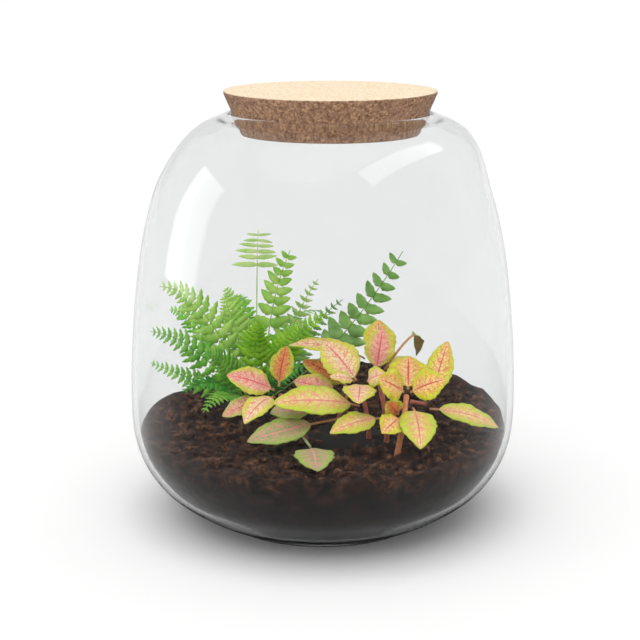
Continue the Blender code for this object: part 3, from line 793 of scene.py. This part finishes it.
# %% Frond places
# Middle, tip (mm), width, direction the upper face looks, share that is stalk, leaflet pairs, kind
FRONDS = {
    1: ((-72, 18, 118), (-99, 11, 137), 24, (0, -0.8, 0.6), 0.30, 8, "fresh"),
    2: ((-77, 42, 103), (-97, 46, 114), 18, (0, -0.8, 0.6), 0.35, 7, "leaf"),
    3: ((-79, 8, 99), (-103, -5, 113), 20, (0, -0.8, 0.6), 0.35, 7, "leaf"),
    4: ((-82, 10, 80), (-105, 5, 91), 16, (0, -0.7, 0.7), 0.35, 7, "leaf"),
    5: ((-52, 42, 108), (-62, 51, 127), 18, (0, -0.9, 0.4), 0.40, 7, "fresh"),
    6: ((-41, 36, 122), (-40, 46, 165), 30, (0, -0.9, 0.4), 0.60, 6, "pale"),
    7: ((-32, 38, 113), (-20, 43, 153), 22, (0, -0.95, 0.3), 0.45, 8, "fresh"),
    8: ((-18, 50, 105), (-3, 59, 131), 16, (0, -0.9, 0.4), 0.50, 6, "pale"),
    9: ((10, 31, 99), (50, 40, 153), 28, (-0.2, -0.9, 0.4), 0.45, 9, "grey"),
    10: ((-12, 46, 96), (13, 58, 118), 18, (0, -0.8, 0.6), 0.40, 7, "grey"),
    11: ((-18, 20, 101), (5, 19, 118), 18, (0, -0.8, 0.6), 0.40, 7, "bright"),
    12: ((-59, -10, 75), (-70, -33, 71), 16, (0, -0.5, 0.85), 0.35, 6, "leaf"),
    13: ((-65, 0, 80), (-84, -15, 78), 16, (0, -0.5, 0.85), 0.35, 7, "deep"),
    14: ((-41, 8, 101), (-37, -4, 119), 20, (0, -0.9, 0.5), 0.40, 7, "bright"),
    15: ((-27, 14, 98), (-12, 8, 114), 18, (0, -0.8, 0.6), 0.40, 7, "bright"),
    16: ((-54, 35, 103), (-63, 41, 124), 20, (0, -0.8, 0.6), 0.40, 7, "fresh"),
    17: ((-58, 0, 90), (-69, -14, 103), 18, (0, -0.8, 0.6), 0.40, 7, "leaf"),
    18: ((-50, 64, 106), (-58, 88, 113), 20, (0, -0.2, 1), 0.35, 7, "leaf"),
    19: ((-24, 68, 98), (0, 92, 102), 18, (0, -0.2, 1), 0.35, 7, "leaf"),
    20: ((-24, 8, 84), (-2, 0, 88), 16, (0, -0.7, 0.7), 0.40, 6, "deep"),
}
print(len(FRONDS), "frond places")


# %% Frond mesh
FROND_THICKNESS = 0.22    # mm
TALLEST = 6               # the number of the frond with level, narrow leaflets
OPEN_HABIT = (6, 7, 9)    # fronds with fewer, broader leaflets


def frond_shape(t):
    """How long leaflets are along a full frond, as a share of its widest."""
    return min(0.55 + 2.2 * t, 1.0) * (1 - 0.86 * max(t - 0.15, 0) / 0.85)


def add_strip(bm, stations):
    """Two quads between neighbouring (left, middle, right) stations."""
    rows = [[bm.verts.new(p * MM) for p in station] for station in stations]
    for a, b in zip(rows, rows[1:]):
        bm.faces.new((a[0], a[1], b[1], b[0]))
        bm.faces.new((a[1], a[2], b[2], b[1]))


def build_frond(number, middle, tip, width, face, stalk, pairs):
    """One frond in mm, from the crown through its middle to its tip."""
    middle, tip, face = Vector(middle), Vector(tip), Vector(face)
    outward = Vector((middle.x + 40, middle.y - 25, 0)).normalized()
    tier = min(max((middle.z - 75) / 45, 0), 1)
    base = Vector((-40, 25, 61.5 + 4 * tier)) + outward * (9.9 - 1.6 * tier)
    control = middle * 2 - (base + tip) / 2
    bm = bmesh.new()

    def frame_at(t):
        ahead = bezier(base, control, tip, min(t + 0.01, 1)) - bezier(base, control, tip, max(t - 0.01, 0))
        ahead.normalize()
        side = ahead.cross(face).normalized()
        return bezier(base, control, tip, t), ahead, side, side.cross(ahead)

    rachis = []
    for k in range(41):
        centre, ahead, side, normal = frame_at(k / 40)
        half = 0.45 - 0.3 * k / 40
        rachis.append((centre - side * half, centre + normal * 0.3, centre + side * half))
    add_strip(bm, rachis)
    open_habit = number in OPEN_HABIT
    leaflet_ratio = 0.06 if number == TALLEST else 0.165 if open_habit else 0.15
    lobes = 5 if number == TALLEST else 3
    steps = lobes * 4
    notch = 0.14 if open_habit else 0.42
    first = 0.74 if number == TALLEST else stalk * (0.95 if open_habit else 0.35)
    count = pairs if open_habit else round(pairs * 1.8)
    width *= 1.0 if open_habit else 1.2
    for k in range(count):
        share = k / count
        t = first + (1 - first) * share ** 0.92
        centre, ahead, side, normal = frame_at(t)
        shape = 1 - 0.62 * share ** 1.2 if open_habit else frond_shape(share)
        for sign in (-1, 1):
            reach = width / 2 * shape * random.uniform(0.85, 1.15)
            spread = max(width * leaflet_ratio * shape, 0.8)
            lean_on = random.uniform(-0.1, 0.15) if number == TALLEST else random.uniform(0.35, 0.75)
            droop = random.uniform(0.03, 0.25)
            stations = []
            for j in range(steps + 1):
                q = j / steps
                taper = (1 - q ** (3.5 if open_habit else 2.2)) * min(0.45 + 3 * q, 1)
                tooth = 1 - notch + notch * abs(math.sin(math.pi * lobes * q)) ** 0.7
                half = spread * taper * tooth
                at = (centre + side * (sign * (0.2 + reach * q)) + ahead * (reach * lean_on * q ** 1.2)
                      - normal * (droop * reach * q * q))
                run = (side * sign + ahead * lean_on).normalized()
                wide = (ahead - run * ahead.dot(run)).normalized()
                stations.append((at - wide * half * 0.9, at - normal * 0.12 * half, at + wide * half * 1.1))
            add_strip(bm, stations)
    for f in bm.faces:
        f.smooth = True
    mesh = bpy.data.meshes.new("fern_frond")
    bm.to_mesh(mesh)
    bm.free()
    frond = link("fern_frond_%02d_lace" % number, mesh)
    solid = frond.modifiers.new("thickness", "SOLIDIFY")
    solid.thickness = FROND_THICKNESS * MM
    solid.offset = 0
    return frond


print("frond blades", FROND_THICKNESS, "mm thick")

# %% [markdown]
# ### The fern's finish
# A fern is never one green. Each kind of frond has a darker and a paler green, and a noise with
# patches about 9 mm across, near a leaflet's length, moves between them.

# %% Fern leaf
# Thin leathery leaf: satin, a little light shows through, and the green drifts along the frond.
GREENS = {
    "pale": ("A8D070", "CDE69A"),
    "fresh": ("84BC42", "B4DC6E"),
    "bright": ("6CB010", "A0D82C"),
    "leaf": ("4C9A22", "8CC848"),
    "deep": ("1C6A14", "4CA428"),
    "grey": ("5C8C40", "94C068"),
}


def fern_material(kind):
    low, high = (linear(code) for code in GREENS[kind])
    mat, tree, shader = new_material("fern_leaf_" + kind, Roughness=0.45, IOR=1.42,
                                     Subsurface_Weight=0.2, Subsurface_Scale=0.0015)
    shader.inputs["Subsurface Radius"].default_value = (0.5, 1.0, 0.2)
    where = add_node(tree, "ShaderNodeTexCoord").outputs["Object"]
    drift = add_node(tree, "ShaderNodeTexNoise", {"Vector": where, "Scale": 1 / (9 * MM), "Detail": 5.0})
    tree.links.new(ramp(tree, drift.outputs[0], [(0.32, low), (0.66, high)]), shader.inputs["Base Color"])
    bump = add_node(tree, "ShaderNodeBump",
                    {"Height": drift.outputs[0], "Strength": 0.3, "Distance": 0.0005})
    tree.links.new(bump.outputs[0], shader.inputs["Normal"])
    return mat


fern_materials = {kind: fern_material(kind) for kind in GREENS}
print(len(fern_materials), "greens")

# %% Fronds in place
random.seed(21)
worst = 0
for number, spec in FRONDS.items():
    frond = build_frond(number, *spec[:-1])
    node = "fern_frond_%02d" % number
    worst = max(worst, box_difference(frond, node))
    place(frond, fern_materials[spec[-1]], [node])
print(len(FRONDS), "fronds, boxes differ from their nodes by at most", round(worst, 1), "mm")
